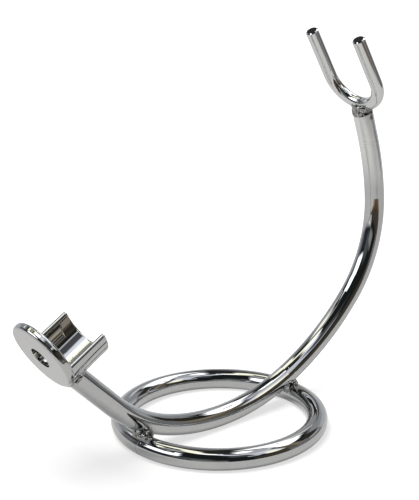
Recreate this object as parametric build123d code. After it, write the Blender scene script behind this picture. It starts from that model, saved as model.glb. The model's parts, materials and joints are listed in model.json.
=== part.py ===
"""Welded wire stand for a shaving brush or razor, in millimetres.

A ring of round bar lies on the table. A bar of the same stock, bent in one upright plane, dips inside the
ring and rises on both sides of it. Its short, low end carries a round stop disc with a half-round trough,
and its long, high end carries a fork of thinner wire. A handle lies in the trough and the fork, on a slope.

The origin is the ring's centre, on the table. +X points from the cradle to the fork, in the plane of the
bent bar, and +Z is up.
"""

from build123d import *
import os
from math import asin, cos, degrees, radians, sin

# Stock
BAR_R = 8.0 / 2             # round bar of the ring and the arm
WIRE_R = 5.0 / 2            # round wire of the fork

# Base ring
RING_R = 37.5               # to the bar's centreline: 83 mm across outside
SEAM_AT = 183.0             # direction of the butt joint, in degrees from +X
SEAM_WIDTH = 0.8            # width of the dressed butt weld at the centreline
SEAM_RECESS = 0.12          # the dressed weld lies this far under the bar's surface

# Support arm: bends as (centreline radius, degrees), outwards from its lowest point over the ring's centre
ARM_LOW_Z = 4.1             # the lowest point of the centreline, so that the bar just clears the table
FORK_SIDE_BENDS = [(83.6, 24.3), (107.4, 23.5), (53.1, 46.4), (109.0, 13.3)]
CRADLE_SIDE_BENDS = [(83.9, 17.2), (61.5, 27.8)]
FORK_SIDE_STRAIGHT = 11.0   # straight length under the fork
CRADLE_SIDE_STRAIGHT = 29.0 # straight length into the trough, before the end is cut to fit under it

# Slope of the handle's axis, from the disc up to the fork
SLOPE = 30.0

# Fork: a U across the handle's axis
FORK_X = 68.9               # centre of its bend
FORK_Z = 126.45
FORK_R = 12.15              # bend radius of the centreline, which leaves a gap of 19.3 mm
NEAR_PRONG = 20.2           # straight length of each prong above the bend: the one on the -Y side,
FAR_PRONG = 21.3            # and the one on the +Y side
PRONG_CHAMFER = 0.45
COLLAR_R = 3.75             # weld collar, where it meets the wire
COLLAR_HEIGHT = 4.05        # from the arm's square end to the wire's axis

# Cradle: stop disc, then trough
DISC_X = -79.15             # centre of the disc's outer face
DISC_Z = 48.6
DISC_R = 13.8
DISC_THICK = 3.2
DISC_EDGE = 1.1             # rounding of the rim
DRAIN_R = 4.25
TROUGH_R = 11.2             # outside radius
TROUGH_WALL = 2.0
TROUGH_LENGTH = 16.8
TROUGH_DROP = 3.35          # the trough's axis lies this far under the disc's centre
TROUGH_WRAP = 200.0         # how much of a circle its wall covers, in degrees
TROUGH_ROLL = 9.5           # it sits turned this much about its axis, as welded
MOUTH_EDGE = 0.8            # rounding of the trough's open end

# Weld beads, as half-lengths in the bead's own three directions
FRONT_BEAD_X = -38.7        # where the front bead sits along the arm, a little outside the ring's centreline
FRONT_BEAD = (3.6, 4.6, 3.6)
REAR_BEAD = (3.8, 4.6, 3.4)
CRADLE_BEAD = (5.0, 5.0, 1.8)

UP_FROM_BASE = (Align.CENTER, Align.CENTER, Align.MIN)


def on_slope(x, z):
    """A plane across the handle's axis: its x is +Y, its y points up the prongs, its z points up the slope."""
    return Plane(origin=(x, 0, z), x_dir=(0, 1, 0), z_dir=(cos(radians(SLOPE)), 0, sin(radians(SLOPE))))


def bent_run(start, tangent, bends, turn, straight):
    """A run of tangent arcs that ends in a straight, in the arm's plane. turn is 1 or -1."""
    pieces = []
    for radius, angle in bends:
        arc = JernArc(start, tangent, radius, turn * angle)
        start, tangent = arc @ 1, arc % 1
        pieces.append(arc)
    pieces.append(Line(start, start + tangent * straight))
    return Plane.XZ * Wire(pieces)


FORK_SIDE = bent_run((0, ARM_LOW_Z), (1, 0), FORK_SIDE_BENDS, 1, FORK_SIDE_STRAIGHT)
CRADLE_SIDE = bent_run((0, ARM_LOW_Z), (-1, 0), CRADLE_SIDE_BENDS, -1, CRADLE_SIDE_STRAIGHT)
DISC_PLANE = on_slope(DISC_X, DISC_Z)
TROUGH_PLANE = Plane(DISC_PLANE * Pos(0, -TROUGH_DROP, DISC_THICK))
FORK_PLANE = on_slope(FORK_X, FORK_Z)
PRONG_DIRECTION = DISC_PLANE.y_dir
SEAM_ANGLE = 2 * degrees(asin(SEAM_WIDTH / 2 / RING_R))


def round_bar(path, radius):
    return sweep(Plane(origin=path @ 0, z_dir=path % 0) * Circle(radius), path=path)


def without(solid, neighbours):
    """A solid cut back to the surfaces of the pieces it lies against."""
    for piece in neighbours:
        solid = solid - piece
    return solid


def bead(plane, half_lengths, neighbours):
    """A rounded weld bead in the corner between its neighbours."""
    return without(plane * scale(Sphere(1), by=half_lengths), neighbours)


def make_base_ring():
    ring = Torus(RING_R, BAR_R, major_angle=360 - SEAM_ANGLE, align=None)
    return Pos(0, 0, BAR_R) * Rot(Z=SEAM_AT + SEAM_ANGLE / 2) * ring


def make_ring_butt_weld(ring):
    """A short plug between the ring's two flat ends."""
    plug = Pos(RING_R, 0, BAR_R) * Rot(X=90) * Cylinder(BAR_R - SEAM_RECESS, 2 * SEAM_WIDTH)
    return without(Rot(Z=SEAM_AT) * plug, [ring])


def make_cradle_disc():
    disc = Cylinder(DISC_R, DISC_THICK, align=UP_FROM_BASE)
    disc = fillet(disc.edges(), DISC_EDGE)
    return DISC_PLANE * (disc - Cylinder(DRAIN_R, 3 * DISC_THICK))


def make_cradle_clip():
    middle_r = TROUGH_R - TROUGH_WALL / 2
    lip_angle = degrees(TROUGH_WALL / 2 / middle_r)
    first = 270 + TROUGH_ROLL - TROUGH_WRAP / 2 + lip_angle
    middle_line = CenterArc((0, 0), middle_r, first, TROUGH_WRAP - 2 * lip_angle)
    wall = extrude(SlotArc(middle_line, TROUGH_WALL), TROUGH_LENGTH)
    mouth = wall.faces().sort_by(Axis.Z)[-1]
    return TROUGH_PLANE * fillet(mouth.edges(), MOUTH_EDGE)


def make_support_arm(disc):
    """The bent bar, its low end cut to fit under the trough."""
    arm = round_bar(FORK_SIDE, BAR_R) + round_bar(CRADLE_SIDE, BAR_R)
    core = Pos(0, 0, -DISC_THICK) * Cylinder(TROUGH_R, DISC_THICK + TROUGH_LENGTH, align=UP_FROM_BASE)
    return without(arm, [TROUGH_PLANE * core, disc])


def make_top_fork():
    near = Line((-FORK_R, NEAR_PRONG), (-FORK_R, 0))
    bend = CenterArc((0, 0), FORK_R, 180, 180)
    far = Line((FORK_R, 0), (FORK_R, FAR_PRONG))
    fork = round_bar(FORK_PLANE * Wire([near, bend, far]), WIRE_R)
    ends = fork.faces().sort_by(Axis((0, 0, 0), PRONG_DIRECTION))[-2:]
    return chamfer(ends.edges(), PRONG_CHAMFER)


def make_fork_weld(fork):
    """A collar that carries on from the arm's square end and takes in the underside of the wire."""
    collar = Cone(BAR_R, COLLAR_R, COLLAR_HEIGHT, align=UP_FROM_BASE)
    return without(Plane(origin=FORK_SIDE @ 1, z_dir=FORK_SIDE % 1) * collar, [fork])


def arm_contact(side, ring_x):
    """The point midway between the ring's bar, where it crosses at ring_x, and the arm's centreline."""
    ring_point = Vector(ring_x, 0, BAR_R)
    arm_points = [side @ (step / 500) for step in range(501)]
    nearest = min(arm_points, key=lambda point: (point - ring_point).length)
    return (ring_point + nearest) / 2


def make_ring_weld(side, ring_x, half_lengths, neighbours):
    return bead(Plane(origin=arm_contact(side, ring_x)), half_lengths, neighbours)


def make_cradle_weld(neighbours):
    """A bead round the arm's end, where its axis meets the trough's underside. It reaches the disc's rim too."""
    start, heading = CRADLE_SIDE @ 1, CRADLE_SIDE % 1
    below = TROUGH_PLANE.to_local_coords(start).Y + TROUGH_R
    climb = heading.dot(PRONG_DIRECTION)
    core = TROUGH_PLANE * Cylinder(TROUGH_R, TROUGH_LENGTH, align=UP_FROM_BASE)
    meeting_point = start - heading * (below / climb)
    return bead(Plane(origin=meeting_point, z_dir=heading), CRADLE_BEAD, [core] + neighbours)


def main():
    base_ring = make_base_ring()
    butt_weld = make_ring_butt_weld(base_ring)
    disc = make_cradle_disc()
    clip = make_cradle_clip()
    arm = make_support_arm(disc)
    fork = make_top_fork()
    ring_and_arm = [base_ring, butt_weld, arm]
    nodes = {
        "base_ring": base_ring,
        "ring_butt_weld": butt_weld,
        "support_arm": arm,
        "front_ring_weld": make_ring_weld(CRADLE_SIDE, FRONT_BEAD_X, FRONT_BEAD, ring_and_arm),
        "rear_ring_weld": make_ring_weld(FORK_SIDE, RING_R, REAR_BEAD, ring_and_arm),
        "top_fork": fork,
        "fork_weld": make_fork_weld(fork),
        "cradle_disc": disc,
        "cradle_clip": clip,
        "cradle_weld": make_cradle_weld([disc, clip, arm]),
    }
    os.makedirs("parts", exist_ok=True)
    for name, solid in nodes.items():
        solid.label = name
        export_step(solid, f"parts/{name}.step")


main()
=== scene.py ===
import json
import math
from collections import namedtuple

import bpy
from mathutils import Matrix, Vector, noise


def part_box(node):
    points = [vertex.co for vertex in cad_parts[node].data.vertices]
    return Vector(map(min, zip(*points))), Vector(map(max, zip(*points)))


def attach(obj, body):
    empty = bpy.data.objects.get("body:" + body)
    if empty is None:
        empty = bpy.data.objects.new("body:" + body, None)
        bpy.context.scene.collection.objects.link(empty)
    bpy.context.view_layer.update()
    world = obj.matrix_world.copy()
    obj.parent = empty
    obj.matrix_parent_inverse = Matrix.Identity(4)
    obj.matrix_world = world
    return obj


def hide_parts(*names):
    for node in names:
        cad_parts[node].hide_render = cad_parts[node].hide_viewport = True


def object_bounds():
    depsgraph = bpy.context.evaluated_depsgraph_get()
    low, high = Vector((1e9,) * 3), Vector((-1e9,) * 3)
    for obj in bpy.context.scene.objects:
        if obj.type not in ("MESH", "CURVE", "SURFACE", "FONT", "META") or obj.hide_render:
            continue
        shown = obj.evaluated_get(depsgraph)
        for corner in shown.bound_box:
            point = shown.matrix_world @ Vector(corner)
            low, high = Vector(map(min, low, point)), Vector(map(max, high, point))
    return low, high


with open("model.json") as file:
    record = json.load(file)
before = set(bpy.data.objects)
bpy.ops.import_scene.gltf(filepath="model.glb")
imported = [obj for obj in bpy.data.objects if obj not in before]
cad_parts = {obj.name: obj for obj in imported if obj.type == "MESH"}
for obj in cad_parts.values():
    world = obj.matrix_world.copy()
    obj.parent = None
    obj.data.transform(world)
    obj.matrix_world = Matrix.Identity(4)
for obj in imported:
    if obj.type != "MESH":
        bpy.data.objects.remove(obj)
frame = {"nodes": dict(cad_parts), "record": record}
cad_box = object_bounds()

MILLIMETRE = 0.001

# Camera: it looks from the front left, a little from above. Angles in degrees, lengths in metres.
AZIMUTH = 39.97                 # to the right of +Y
PITCH = 17.05                   # downwards
ROLL = -0.41
DISTANCE = 0.4918
AIM_OFFSET = (-0.00335, 0.00220, -0.00224)   # from the middle of the object's box
LENS = 95.85                    # in millimetres, on a sensor SENSOR high
SENSOR = 36.0
CLIP_START = 0.01

# The studio as polished chrome sees it: soft-edged cards of light or dark in a dim room, laid one over
# another. Angles are in degrees, seen from the object; tilt turns a card in its own plane.
Card = namedtuple("Card", "azimuth elevation half_width half_height tilt soft brightness tint")
WHITE = (1.0, 1.0, 1.0)
CREAM = (1.0, 0.985, 0.80)
COOL = (0.93, 0.96, 1.0)
LAVENDER = (0.90, 0.93, 1.0)
NAVY = (0.6, 0.65, 1.0)
BROWN = (1.0, 0.85, 0.65)
TEAL = (0.85, 1.0, 0.97)
ROOM_BRIGHTNESS = 0.02
CARDS = {
    "sweep_upper": Card(50, 22, 54, 15, 0, 8, 0.44, COOL),
    "sweep_lower": Card(50, -2, 66, 20, 0, 12, 0.68, COOL),
    "sweep_end": Card(122, 10, 12, 16, 0, 12, 0.25, COOL),
    "side_wall": Card(-35, 8, 34, 16, 0, 6, 0.27, COOL),
    "under_wall": Card(-66, -8, 22, 8, 0, 6, 0.30, COOL),
    "brown_side": Card(-84, 10, 10, 12, 0, 8, 0.07, BROWN),
    "brown_wedge": Card(-64, 12, 10, 16, 0, 6, 0.08, BROWN),
    "cream_wall": Card(-64, 50, 14, 18, 0, 6, 1.25, WHITE),
    "cream_slant": Card(-84, 52, 10, 15, 30, 6, 1.15, LAVENDER),
    "cream_core": Card(-66, 39, 8, 7, 0, 5, 2.0, CREAM),
    "dark_fold": Card(-47, 30, 5, 19, 0, 5, 0.18, BROWN),
    "tan_fold": Card(-37, 34, 6, 16, 0, 5, 0.33, BROWN),
    "lavender": Card(-36, 66, 46, 8, 0, 4, 0.76, LAVENDER),
    "right_softbox": Card(4, 54, 40, 9, 0, 5, 3.2, WHITE),
    "upper_fold": Card(-36, 58, 16, 2.5, 20, 4, 0.30, NAVY),
    "softbox_foot": Card(30, 47, 15, 5, 0, 5, 3.0, WHITE),
    "dark_patch": Card(-13, 28, 12, 10, 0, 4, 0.05, BROWN),
    "grey_patch": Card(-14, 12, 10, 4, 0, 4, 0.58, WHITE),
    "horizon": Card(-26, -1, 22, 2, 0, 2, 0.08, BROWN),
    "top_right": Card(-36, 77, 52, 4, 0, 3, 2.6, WHITE),
    "gap": Card(50, 62, 9, 18, -12, 6, 0.035, WHITE),
    "gap_foot": Card(56, 44, 5, 9, 0, 6, 0.25, WHITE),
    "gap_side": Card(36, 36, 7, 5, 0, 5, 1.0, WHITE),
    "left_softbox": Card(82, 62, 9, 13, -25, 5, 2.1, CREAM),
    "left_top": Card(110, 74, 22, 4, 0, 3, 2.0, CREAM),
    "far_top": Card(160, 76, 60, 5, 0, 3, 2.0, CREAM),
    "grey_top": Card(140, 63, 22, 5, 0, 5, 0.62, WHITE),
    "left_strip": Card(118, 56, 11, 4, 0, 4, 2.1, CREAM),
    "left_middle": Card(95, 42, 28, 7, 0, 5, 0.25, WHITE),
    "dark_spot": Card(72, 43, 4, 4, 0, 2, 0.04, WHITE),
    "left_slit": Card(72, 34, 3, 5, 0, 3, 1.1, WHITE),
    "left_slot": Card(101, 37, 8, 4, 0, 4, 1.3, WHITE),
    "window_low": Card(164, 31, 21, 9, 0, 5, 3.2, COOL),
    "window_high": Card(158, 44, 21, 8, 0, 5, 3.2, COOL),
    "rear_top": Card(-155, 75, 34, 3.5, 0, 3, 2.6, WHITE),
    "rear_slant": Card(-112, 65, 26, 5, -20, 5, 1.5, LAVENDER),
    "rear_slit": Card(-92, 35, 7, 3, 0, 3, 0.8, COOL),
    "rear_haze": Card(-104, 49, 14, 9, 0, 8, 0.13, LAVENDER),
    "room_left": Card(-160, 14, 22, 10, 0, 12, 0.14, TEAL),
    "room_low": Card(-140, 5, 18, 5, 0, 5, 0.36, WHITE),
    "left_fold": Card(137, 10, 7, 22, 0, 6, 0.09, WHITE),
    "navy": Card(158, 8, 14, 9, 0, 6, 0.06, NAVY),
    "table_edge": Card(-118, -12, 34, 6, 0, 6, 0.09, BROWN),
    "back_low": Card(170, -6, 30, 5, 0, 5, 0.75, WHITE),
    "zenith": Card(0, 90, 400, 8, 0, 3, 0.06, WHITE),
}

# Light that falls on everything but polished metal: an even one, and a wide soft key
AMBIENT = (0.24, 0.25, 0.27)
BACKDROP = (0.93, 0.94, 0.95)   # what the camera sees above the floor's far edge
KEY_AZIMUTH = 186
KEY_ELEVATION = 70
KEY_DISTANCE = 1.4
KEY_SIZE = (0.8, 0.6)
KEY_WATTS = 20
KEY_COLOUR = (1.0, 0.98, 0.95)

# From here on, lengths are in metres, and a pair of numbers says where a change starts and where it is
# complete, unless a comment says otherwise.

# The floor: pale paper that glows a little, so that shadows on it stay light. What the chrome mirrors is
# another, greyer sheet, which fades through painted shade of a curled edge to a brown table towards the
# front, and ends at two straight edges.
Paper = namedtuple("Paper", "colour glow")
FLOOR_REACH = 4.0
LIFT = 0.00005                  # keeps the two sheets apart
FIBRE_SIZE = 0.0006
FIBRE_HEIGHT = 0.00002
FIBRE_SHADE = 0.98              # brightness of the hollows between fibres
PAPER_ROUGHNESS = 0.9

WHITE_PAPER = Paper((0.36, 0.36, 0.36), 0.64)
FAR_GLOW = 1.0                  # its glow away from the object, so that it is evenly white there
FAR_GLOW_CENTRE = (-0.03, 0.0, 0.0)
FAR_GLOW_FROM = (0.06, 0.115)   # distances from that centre

GREY_PAPER = Paper((0.48, 0.475, 0.465), 0.26)
PAPER_FRONT = (-120, 0.25)      # an edge's direction, in degrees, and its distance from the ring's centre
PAPER_SIDE = (-30, 0.5)
EDGE_SHADE = (0.15, 0.203)            # distances towards the front edge, where it turns into table through painted shade
TABLE_FADE = (0.20, 0.26)       # the same, where the table darkens
TABLE_EDGE = (0.15, 0.085, 0.035)   # the table next to the paper
TABLE = (0.04, 0.033, 0.015)

# Chrome plate
CHROME = (0.50, 0.505, 0.51)
WAVE_SIZE = 0.014
WAVE_HEIGHT = 0.00005
PEEL_SIZE = 0.0016
PEEL_HEIGHT = 0.0000012
PATCH_SIZE = 0.009              # patches that are less bright, and less clear, than the rest
WORN_SHADE = 0.93
WORN_FROM = (0.35, 0.8)         # values of the patches' noise
CLOUDY_FROM = (0.45, 0.75)
CLOUDY_ROUGHNESS = (0.01, 0.035)    # of the clear plate, and of the cloudy

# Near a weld it is duller, and pitted
HEAT_REACH = (0.0033, 0.011)    # distances from the weld's centre
HEAT_ROUGHNESS = 0.05
PIT_SIZE = 0.0011
PIT_WALL = (0.12, 0.34)         # distances from a pit's middle, in pit sizes
PIT_DEPTH = 0.00002

# The arm's upper part and the fork are lighter, a painted brighter reflection, and hazy up to the fork's weld
HAZE_ROUGHNESS = 0.26
HAZE_FROM = (0.078, 0.100)      # heights over which it sets in
HAZE_TO = (0.1125, 0.1140)      # and over which the haze stops
# painted brighter reflection on the arm's upper part and the fork
BRIGHT_UPPER_PLATE = (0.75, 0.755, 0.755)
FORK_BRIGHTENING = 0.65

# It has a small brown spot on the arm, at the right of the fork's weld
BROWN_SPOT = (0.16, 0.10, 0.06)
BROWN_SPOT_OFFSET = (0.0012, -0.0036, -0.0032)   # from the weld's centre
BROWN_SPOT_REACH = (0.0015, 0.0028)
BROWN_SPOT_RAGGED = 0.002            # how far the patches' noise moves its edge
BROWN_SPOT_STRENGTH = 0.8

# Painted shade and dark reflection: a dark brown on the trough's upper inner walls and the disc between them
TROUGH_SHADE = (0.20, 0.17, 0.13)
TROUGH_SHADE_SKIN = (0.0002, 0.0005)  # past the seat's radius
TROUGH_SHADE_END = 0.0012             # past the seat's ends
TROUGH_SHADE_RISE = (-0.004, -0.001)  # heights next to the seat's axis
TROUGH_SHADE_STRENGTH = 0.85

# Plate on a weld, with painted highlights on its crowns and painted shade in its hollows
CROWN_HIGHLIGHT = 1.1               # painted highlight on the crowns: brightness next to CHROME
# painted shade in the weld's hollows
HOLLOW_SHADE = (0.11, 0.1, 0.09)
HOLLOW_TO_CROWN = (0.47, 0.555) # values of Pointiness
KNOB_SIZE = 0.0014
KNOB_HEIGHT = 0.0001
KNOB_FROM = (0.35, 0.7)         # values of the knobs' noise
KNOB_ROUGHNESS = (0.05, 0.22)   # between the knobs, and on them
GRIT_SIZE = 0.0004
GRIT_HEIGHT = 0.00001

# Weld beads: their skin's lumps, specks and ripples, in millimetres, and where each bead's noise starts
WELD_VOXEL = 0.22
LUMP_HEIGHT = 0.5
LUMP_SIZE = 1.9
SPECK_HEIGHT = 0.07
SPECK_SIZE = 0.8
RIPPLE_HEIGHT = 0.04
RIPPLE_LENGTH = 1.5
RIPPLE_BOW = 0.12               # how much the ripples curve
WELDS = {
    "front_ring_weld": 3.0,
    "rear_ring_weld": 11.0,
    "fork_weld": 23.0,
    "cradle_weld": 31.0,
}
SEAM = "ring_butt_weld"         # dressed smooth: it keeps its CAD shape


def link(obj):
    bpy.context.scene.collection.objects.link(obj)
    return obj


def direction(azimuth, elevation=0):
    az, el = math.radians(azimuth), math.radians(elevation)
    return Vector((math.cos(az) * math.cos(el), math.sin(az) * math.cos(el), math.sin(el)))


def rgba(colour, brightness=1.0):
    return (*(brightness * part for part in colour), 1.0)


def add_camera():
    """The camera looks along +Y, turned AZIMUTH towards +X and PITCH down."""
    turn = (
        Matrix.Rotation(math.radians(-AZIMUTH), 4, "Z")
        @ Matrix.Rotation(math.radians(90 - PITCH), 4, "X")
        @ Matrix.Rotation(math.radians(ROLL), 4, "Z")
    )
    aim = (Vector(cad_box[0]) + Vector(cad_box[1])) / 2 + Vector(AIM_OFFSET)
    backwards = turn.to_3x3() @ Vector((0, 0, 1))
    data = bpy.data.cameras.new("camera")
    data.lens = LENS
    data.sensor_width = SENSOR
    data.clip_start = CLIP_START
    camera = link(bpy.data.objects.new("camera", data))
    camera.matrix_world = Matrix.Translation(aim + backwards * DISTANCE) @ turn
    bpy.context.scene.camera = camera


class Nodes:
    """Short calls for building one node tree. A value is a number, a colour or another node's socket."""

    def __init__(self, tree):
        self.tree = tree

    def add(self, kind, **settings):
        node = self.tree.nodes.new(kind)
        for name, value in settings.items():
            setattr(node, name, value)
        return node

    def join(self, value, socket):
        if isinstance(value, bpy.types.NodeSocket):
            self.tree.links.new(value, socket)
        else:
            socket.default_value = value

    def fill(self, node, *values):
        """Join values to a node's inputs, in order, and give its outputs."""
        for value, socket in zip(values, node.inputs):
            self.join(value, socket)
        return node.outputs

    def math(self, operation, *values):
        return self.fill(self.add("ShaderNodeMath", operation=operation), *values)[0]

    def spread(self, value, old_low, old_high, low, high):
        """Map a value smoothly from one range to another, and hold it at the ends."""
        node = self.add("ShaderNodeMapRange", interpolation_type="SMOOTHSTEP")
        return self.fill(node, value, old_low, old_high, low, high)[0]

    def mix(self, factor, under, over):
        node = self.add("ShaderNodeMix", data_type="RGBA")
        self.join(factor, node.inputs[0])
        self.join(under, node.inputs[6])
        self.join(over, node.inputs[7])
        return node.outputs[2]

    def choose(self, factor, shader_at_0, shader_at_1):
        return self.fill(self.add("ShaderNodeMixShader"), factor, shader_at_0, shader_at_1)[0]

    def split(self, vector):
        return self.fill(self.add("ShaderNodeSeparateXYZ"), vector)

    def distance(self, place, point):
        return self.fill(self.add("ShaderNodeVectorMath", operation="DISTANCE"), place, point)["Value"]

    def dot(self, place, axis):
        return self.fill(self.add("ShaderNodeVectorMath", operation="DOT_PRODUCT"), place, axis)["Value"]

    def grain(self, place, size, detail=2.0, roughness=0.5):
        """Noise whose lumps are about size across, in metres."""
        node = self.add("ShaderNodeTexNoise")
        self.join(place, node.inputs["Vector"])
        self.join(1 / size, node.inputs["Scale"])
        self.join(detail, node.inputs["Detail"])
        self.join(roughness, node.inputs["Roughness"])
        return node.outputs["Fac"]

    def bump(self, height, distance, normal=None):
        node = self.add("ShaderNodeBump")
        self.join(height, node.inputs["Height"])
        self.join(distance, node.inputs["Distance"])
        if normal:
            self.join(normal, node.inputs["Normal"])
        return node.outputs["Normal"]


CARD_INPUTS = (
    "Azimuth", "Elevation", "Centre azimuth", "Centre elevation", "Cosine", "Sine",
    "Inner width", "Outer width", "Inner height", "Outer height",
)


def card_group():
    """A node group that gives 1 inside one soft-edged card and 0 outside it."""
    tree = bpy.data.node_groups.new("card", "ShaderNodeTree")
    for name in CARD_INPUTS:
        tree.interface.new_socket(name, in_out="INPUT", socket_type="NodeSocketFloat")
    tree.interface.new_socket("Mask", in_out="OUTPUT", socket_type="NodeSocketFloat")
    n = Nodes(tree)
    entry = n.add("NodeGroupInput").outputs
    across = n.math("WRAP", n.math("SUBTRACT", entry["Azimuth"], entry["Centre azimuth"]), 180.0, -180.0)
    up = n.math("SUBTRACT", entry["Elevation"], entry["Centre elevation"])
    u = n.math("ADD", n.math("MULTIPLY", across, entry["Cosine"]), n.math("MULTIPLY", up, entry["Sine"]))
    v = n.math("SUBTRACT", n.math("MULTIPLY", up, entry["Cosine"]), n.math("MULTIPLY", across, entry["Sine"]))
    wide = n.spread(n.math("ABSOLUTE", u), entry["Inner width"], entry["Outer width"], 1.0, 0.0)
    high = n.spread(n.math("ABSOLUTE", v), entry["Inner height"], entry["Outer height"], 1.0, 0.0)
    n.join(n.math("MULTIPLY", wide, high), n.add("NodeGroupOutput").inputs["Mask"])
    return tree


def lay_cards(n):
    """The colour of the studio in each direction."""
    x, y, z = n.split(n.add("ShaderNodeTexCoord").outputs["Generated"])
    azimuth = n.math("DEGREES", n.math("ARCTAN2", y, x))
    elevation = n.math("DEGREES", n.math("ARCSINE", z))
    group = card_group()
    colour = rgba(TEAL, ROOM_BRIGHTNESS)
    for card in CARDS.values():
        mask = n.add("ShaderNodeGroup", node_tree=group)
        tilt, edge = math.radians(card.tilt), card.soft / 2
        values = (
            azimuth, elevation, card.azimuth, card.elevation, math.cos(tilt), math.sin(tilt),
            card.half_width - edge, card.half_width + edge, card.half_height - edge, card.half_height + edge,
        )
        inside = n.fill(mask, *values)["Mask"]
        colour = n.mix(inside, colour, rgba(card.tint, card.brightness))
    return colour


def add_studio():
    """Polished metal mirrors the cards. All else is lit by an even, pale light, before a pale backdrop."""
    world = bpy.data.worlds.new("studio")
    bpy.context.scene.world = world
    world.use_nodes = True
    n = Nodes(world.node_tree)
    even = n.tree.nodes["Background"]
    even.inputs["Color"].default_value = rgba(AMBIENT)
    cards = n.add("ShaderNodeBackground")
    n.join(lay_cards(n), cards.inputs["Color"])
    backdrop = n.add("ShaderNodeBackground")
    backdrop.inputs["Color"].default_value = rgba(BACKDROP)
    path = n.add("ShaderNodeLightPath").outputs
    shader = n.choose(path["Is Glossy Ray"], even.outputs[0], cards.outputs[0])
    shader = n.choose(path["Is Camera Ray"], shader, backdrop.outputs[0])
    n.join(shader, n.tree.nodes["World Output"].inputs["Surface"])


def add_key():
    """A wide soft light, high on the cradle's side, that throws the floor's faint shadows.

    Chrome doesn't mirror it, only the cards.
    """
    data = bpy.data.lights.new("key", "AREA")
    data.shape = "RECTANGLE"
    data.size, data.size_y = KEY_SIZE
    data.energy = KEY_WATTS
    data.color = KEY_COLOUR
    lamp = link(bpy.data.objects.new("key", data))
    lamp.location = direction(KEY_AZIMUTH, KEY_ELEVATION) * KEY_DISTANCE
    lamp.rotation_euler = (-lamp.location).to_track_quat("-Z", "Y").to_euler()
    lamp.visible_glossy = False
    lamp.visible_camera = False


def new_material(name):
    """A material, with its nodes, its shader's inputs, and the place on the surface."""
    material = bpy.data.materials.new(name)
    material.use_nodes = True
    n = Nodes(material.node_tree)
    place = n.add("ShaderNodeTexCoord").outputs["Object"]
    return material, n, n.tree.nodes["Principled BSDF"].inputs, place


def glow_outwards(n, place, colour, glow):
    """The white paper glows more away from the object."""
    away = n.distance(place, FAR_GLOW_CENTRE)
    return colour, n.spread(away, *FAR_GLOW_FROM, glow, FAR_GLOW)


def table_and_edge_shade(n, place, colour, glow):
    """The grey paper turns into a brown table towards the front, through painted shade, and stops glowing."""
    out = n.dot(place, direction(PAPER_FRONT[0]))
    kept = n.spread(out, *EDGE_SHADE, 1.0, 0.0)
    table = n.mix(n.spread(out, *TABLE_FADE, 0.0, 1.0), rgba(TABLE_EDGE), rgba(TABLE))
    return n.mix(kept, table, colour), n.math("MULTIPLY", kept, glow)


def paper_material(name, paper, change):
    """Fine paper that also glows a little. change alters its colour and glow from place to place."""
    material, n, shader, place = new_material(name)
    fibre = n.grain(place, FIBRE_SIZE, detail=4.0)
    colour = n.mix(fibre, rgba(paper.colour, FIBRE_SHADE), rgba(paper.colour))
    colour, glow = change(n, place, colour, paper.glow)
    n.join(colour, shader["Base Color"])
    n.join(rgba(WHITE), shader["Emission Color"])
    n.join(glow, shader["Emission Strength"])
    n.join(PAPER_ROUGHNESS, shader["Roughness"])
    n.join(n.bump(fibre, FIBRE_HEIGHT), shader["Normal"])
    return material


def add_sheet(name, corners, material, mirrored):
    mesh = bpy.data.meshes.new(name)
    mesh.from_pydata(corners, [], [range(len(corners))])
    mesh.materials.append(material)
    sheet = link(bpy.data.objects.new(name, mesh))
    sheet.visible_glossy = mirrored
    sheet.visible_camera = not mirrored
    sheet.visible_diffuse = not mirrored
    sheet.visible_shadow = not mirrored


def add_floor():
    """The camera sees an endless sheet, and the chrome mirrors one that has a front and a side edge."""
    r = FLOOR_REACH
    white = paper_material("white_paper", WHITE_PAPER, glow_outwards)
    add_sheet("floor", [(-r, -r, 0), (r, -r, 0), (r, r, 0), (-r, r, 0)], white, False)
    grey = paper_material("grey_paper", GREY_PAPER, table_and_edge_shade)
    front, side = direction(PAPER_FRONT[0]), direction(PAPER_SIDE[0])
    near, far = front * PAPER_FRONT[1], side * PAPER_SIDE[1]
    lift = Vector((0, 0, LIFT))
    corners = [near + far, near - side * r, -front * r - side * r, -front * r + far]
    add_sheet("mirrored_floor", [corner + lift for corner in corners], grey, True)


def weld_centre(name):
    low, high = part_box(name)
    return (Vector(low) + Vector(high)) / 2


def near_welds(n, place):
    """1 at a weld, falling to 0 away from it."""
    heat = 0.0
    for name in WELDS:
        away = n.distance(place, weld_centre(name))
        heat = n.math("MAXIMUM", heat, n.spread(away, *HEAT_REACH, 1.0, 0.0))
    return heat


def trough_shade_mask(n, place):
    """Painted shade: 1 on the trough's inner walls near and above its axis, and on the disc between them."""
    seat = next(mount for mount in frame["record"]["mounts"] if mount["name"] == "clip_seat")
    middle, axis = Vector(seat["pos_m"]), Vector(seat["axis"])
    radius, half = seat["dims"]["r_mm"] * MILLIMETRE, seat["dims"]["length_mm"] / 2 * MILLIMETRE
    sideways = Vector((0, 1, 0))
    upwards = axis.cross(sideways)
    along = n.math("SUBTRACT", n.dot(place, axis), middle.dot(axis))
    above = n.math("SUBTRACT", n.dot(place, upwards), middle.dot(upwards))
    beside = n.dot(place, sideways)
    away = n.math("SQRT", n.math("ADD", n.math("MULTIPLY", above, above), n.math("MULTIPLY", beside, beside)))
    inside = n.spread(away, radius + TROUGH_SHADE_SKIN[0], radius + TROUGH_SHADE_SKIN[1], 1.0, 0.0)
    within = n.spread(n.math("ABSOLUTE", along), half, half + TROUGH_SHADE_END, 1.0, 0.0)
    high = n.spread(above, *TROUGH_SHADE_RISE, 0.0, TROUGH_SHADE_STRENGTH)
    return n.math("MULTIPLY", high, n.math("MULTIPLY", inside, within))


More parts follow.
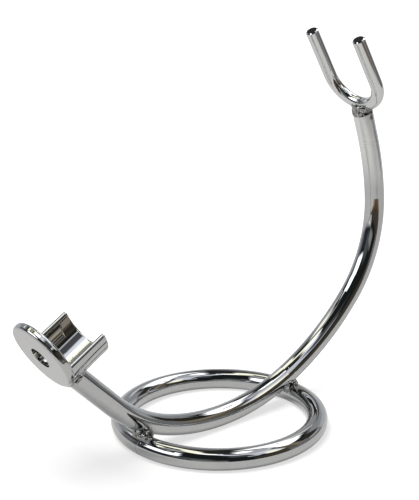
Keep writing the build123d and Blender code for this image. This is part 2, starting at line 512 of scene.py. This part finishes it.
def plate_normal(n, place, heat):
    """Slow waves, faint orange peel, and pits by the welds."""
    pits = n.add("ShaderNodeTexVoronoi")
    n.join(place, pits.inputs["Vector"])
    n.join(1 / PIT_SIZE, pits.inputs["Scale"])
    pit = n.math("MULTIPLY", n.spread(pits.outputs["Distance"], *PIT_WALL, 0.0, 1.0), heat)
    normal = n.bump(n.grain(place, WAVE_SIZE, detail=1.0), WAVE_HEIGHT)
    normal = n.bump(n.grain(place, PEEL_SIZE), PEEL_HEIGHT, normal)
    return n.bump(pit, PIT_DEPTH, normal)


def plate_colour(n, place, patches, brightened):
    worn = n.spread(patches, *WORN_FROM, 0.0, 1.0)
    colour = n.mix(worn, rgba(CHROME), rgba(CHROME, WORN_SHADE))
    # painted brighter reflection on the upper parts
    colour = n.mix(brightened, colour, rgba(BRIGHT_UPPER_PLATE))
    away = n.distance(place, weld_centre("fork_weld") + Vector(BROWN_SPOT_OFFSET))
    away = n.math("ADD", away, n.math("MULTIPLY", patches, BROWN_SPOT_RAGGED))
    colour = n.mix(n.spread(away, *BROWN_SPOT_REACH, BROWN_SPOT_STRENGTH, 0.0), colour, rgba(BROWN_SPOT))
    # painted shade and dark reflection inside the trough
    return n.mix(trough_shade_mask(n, place), colour, rgba(TROUGH_SHADE))


def chrome_plate():
    """Polished plate on bent bar: hazy parts, painted brighter reflection up high, duller, pitted plate by
    the welds.
    """
    material, n, shader, place = new_material("chrome_plate")
    heat = near_welds(n, place)
    patches = n.grain(place, PATCH_SIZE, detail=5.0, roughness=0.65)
    height = n.split(place)["Z"]
    high = n.spread(height, *HAZE_FROM, 0.0, 1.0)
    hazy = n.math("MULTIPLY", high, n.spread(height, *HAZE_TO, 1.0, 0.0))
    dull = n.spread(patches, *CLOUDY_FROM, *CLOUDY_ROUGHNESS)
    dull = n.math("ADD", dull, n.math("MULTIPLY", heat, HEAT_ROUGHNESS))
    dull = n.math("ADD", dull, n.math("MULTIPLY", hazy, HAZE_ROUGHNESS))
    # painted brighter reflection: lighter colour on the arm's upper part and the fork
    brightened = n.math("MAXIMUM", hazy, n.math("MULTIPLY", high, FORK_BRIGHTENING))
    n.join(plate_colour(n, place, patches, brightened), shader["Base Color"])
    n.join(dull, shader["Roughness"])
    n.join(1.0, shader["Metallic"])
    n.join(plate_normal(n, place, heat), shader["Normal"])
    return material


def plated_weld():
    """Chrome over a rough bead: painted highlight on crowns, painted shade in hollows, and fine grain."""
    material, n, shader, place = new_material("plated_weld")
    knobs = n.grain(place, KNOB_SIZE, detail=3.0)
    grit = n.grain(place, GRIT_SIZE)
    shaded_hollows = n.spread(n.add("ShaderNodeNewGeometry").outputs["Pointiness"], *HOLLOW_TO_CROWN, 1.0, 0.0)
    # painted shade in the hollows and painted highlight on the crowns
    n.join(n.mix(shaded_hollows, rgba(CHROME, CROWN_HIGHLIGHT), rgba(HOLLOW_SHADE)), shader["Base Color"])
    n.join(n.spread(knobs, *KNOB_FROM, *KNOB_ROUGHNESS), shader["Roughness"])
    n.join(1.0, shader["Metallic"])
    n.join(n.bump(grit, GRIT_HEIGHT, n.bump(knobs, KNOB_HEIGHT)), shader["Normal"])
    return material


def voxel_copy(name):
    """A free copy of a node's mesh with an even grid of small faces."""
    piece = link(bpy.data.objects.new(name + "_bead", frame["nodes"][name].data.copy()))
    modifier = piece.modifiers.new("remesh", "REMESH")
    modifier.mode = "VOXEL"
    modifier.voxel_size = WELD_VOXEL * MILLIMETRE
    mesh = bpy.data.meshes.new_from_object(piece.evaluated_get(bpy.context.evaluated_depsgraph_get()))
    piece.modifiers.clear()
    piece.data = mesh
    return piece


def weld_height(place, centre, offset):
    """How far the bead's skin stands out at a place, in millimetres: lumps, specks and ripples."""
    spot = place / MILLIMETRE + Vector((offset, 0, 0))
    lump = LUMP_HEIGHT * noise.noise(spot / LUMP_SIZE)
    speck = SPECK_HEIGHT * noise.noise(spot / SPECK_SIZE)
    away = (place - centre) / MILLIMETRE
    run = away.y + RIPPLE_BOW * away.x * away.x
    ripple = RIPPLE_HEIGHT * math.sin(2 * math.pi * run / RIPPLE_LENGTH)
    return lump + speck + ripple


def add_weld(name, offset, material):
    """A rough bead in place of the node's smooth one."""
    piece = voxel_copy(name)
    centre = weld_centre(name)
    mesh = piece.data
    normals = [v.normal.copy() for v in mesh.vertices]
    for vertex, normal in zip(mesh.vertices, normals):
        vertex.co += normal * weld_height(vertex.co, centre, offset) * MILLIMETRE
    mesh.materials.clear()
    mesh.materials.append(material)
    mesh.polygons.foreach_set("use_smooth", [True] * len(mesh.polygons))
    mesh.update()
    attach(piece, "root")
    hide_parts(name)


def finish_pieces():
    plate, weld = chrome_plate(), plated_weld()
    for name, node in frame["nodes"].items():
        for slot in node.material_slots:
            slot.material = weld if name == SEAM else plate
    for name, offset in WELDS.items():
        add_weld(name, offset, weld)


add_camera()
add_studio()
add_key()
add_floor()
finish_pieces()
bpy.context.scene.view_settings.view_transform = "Standard"
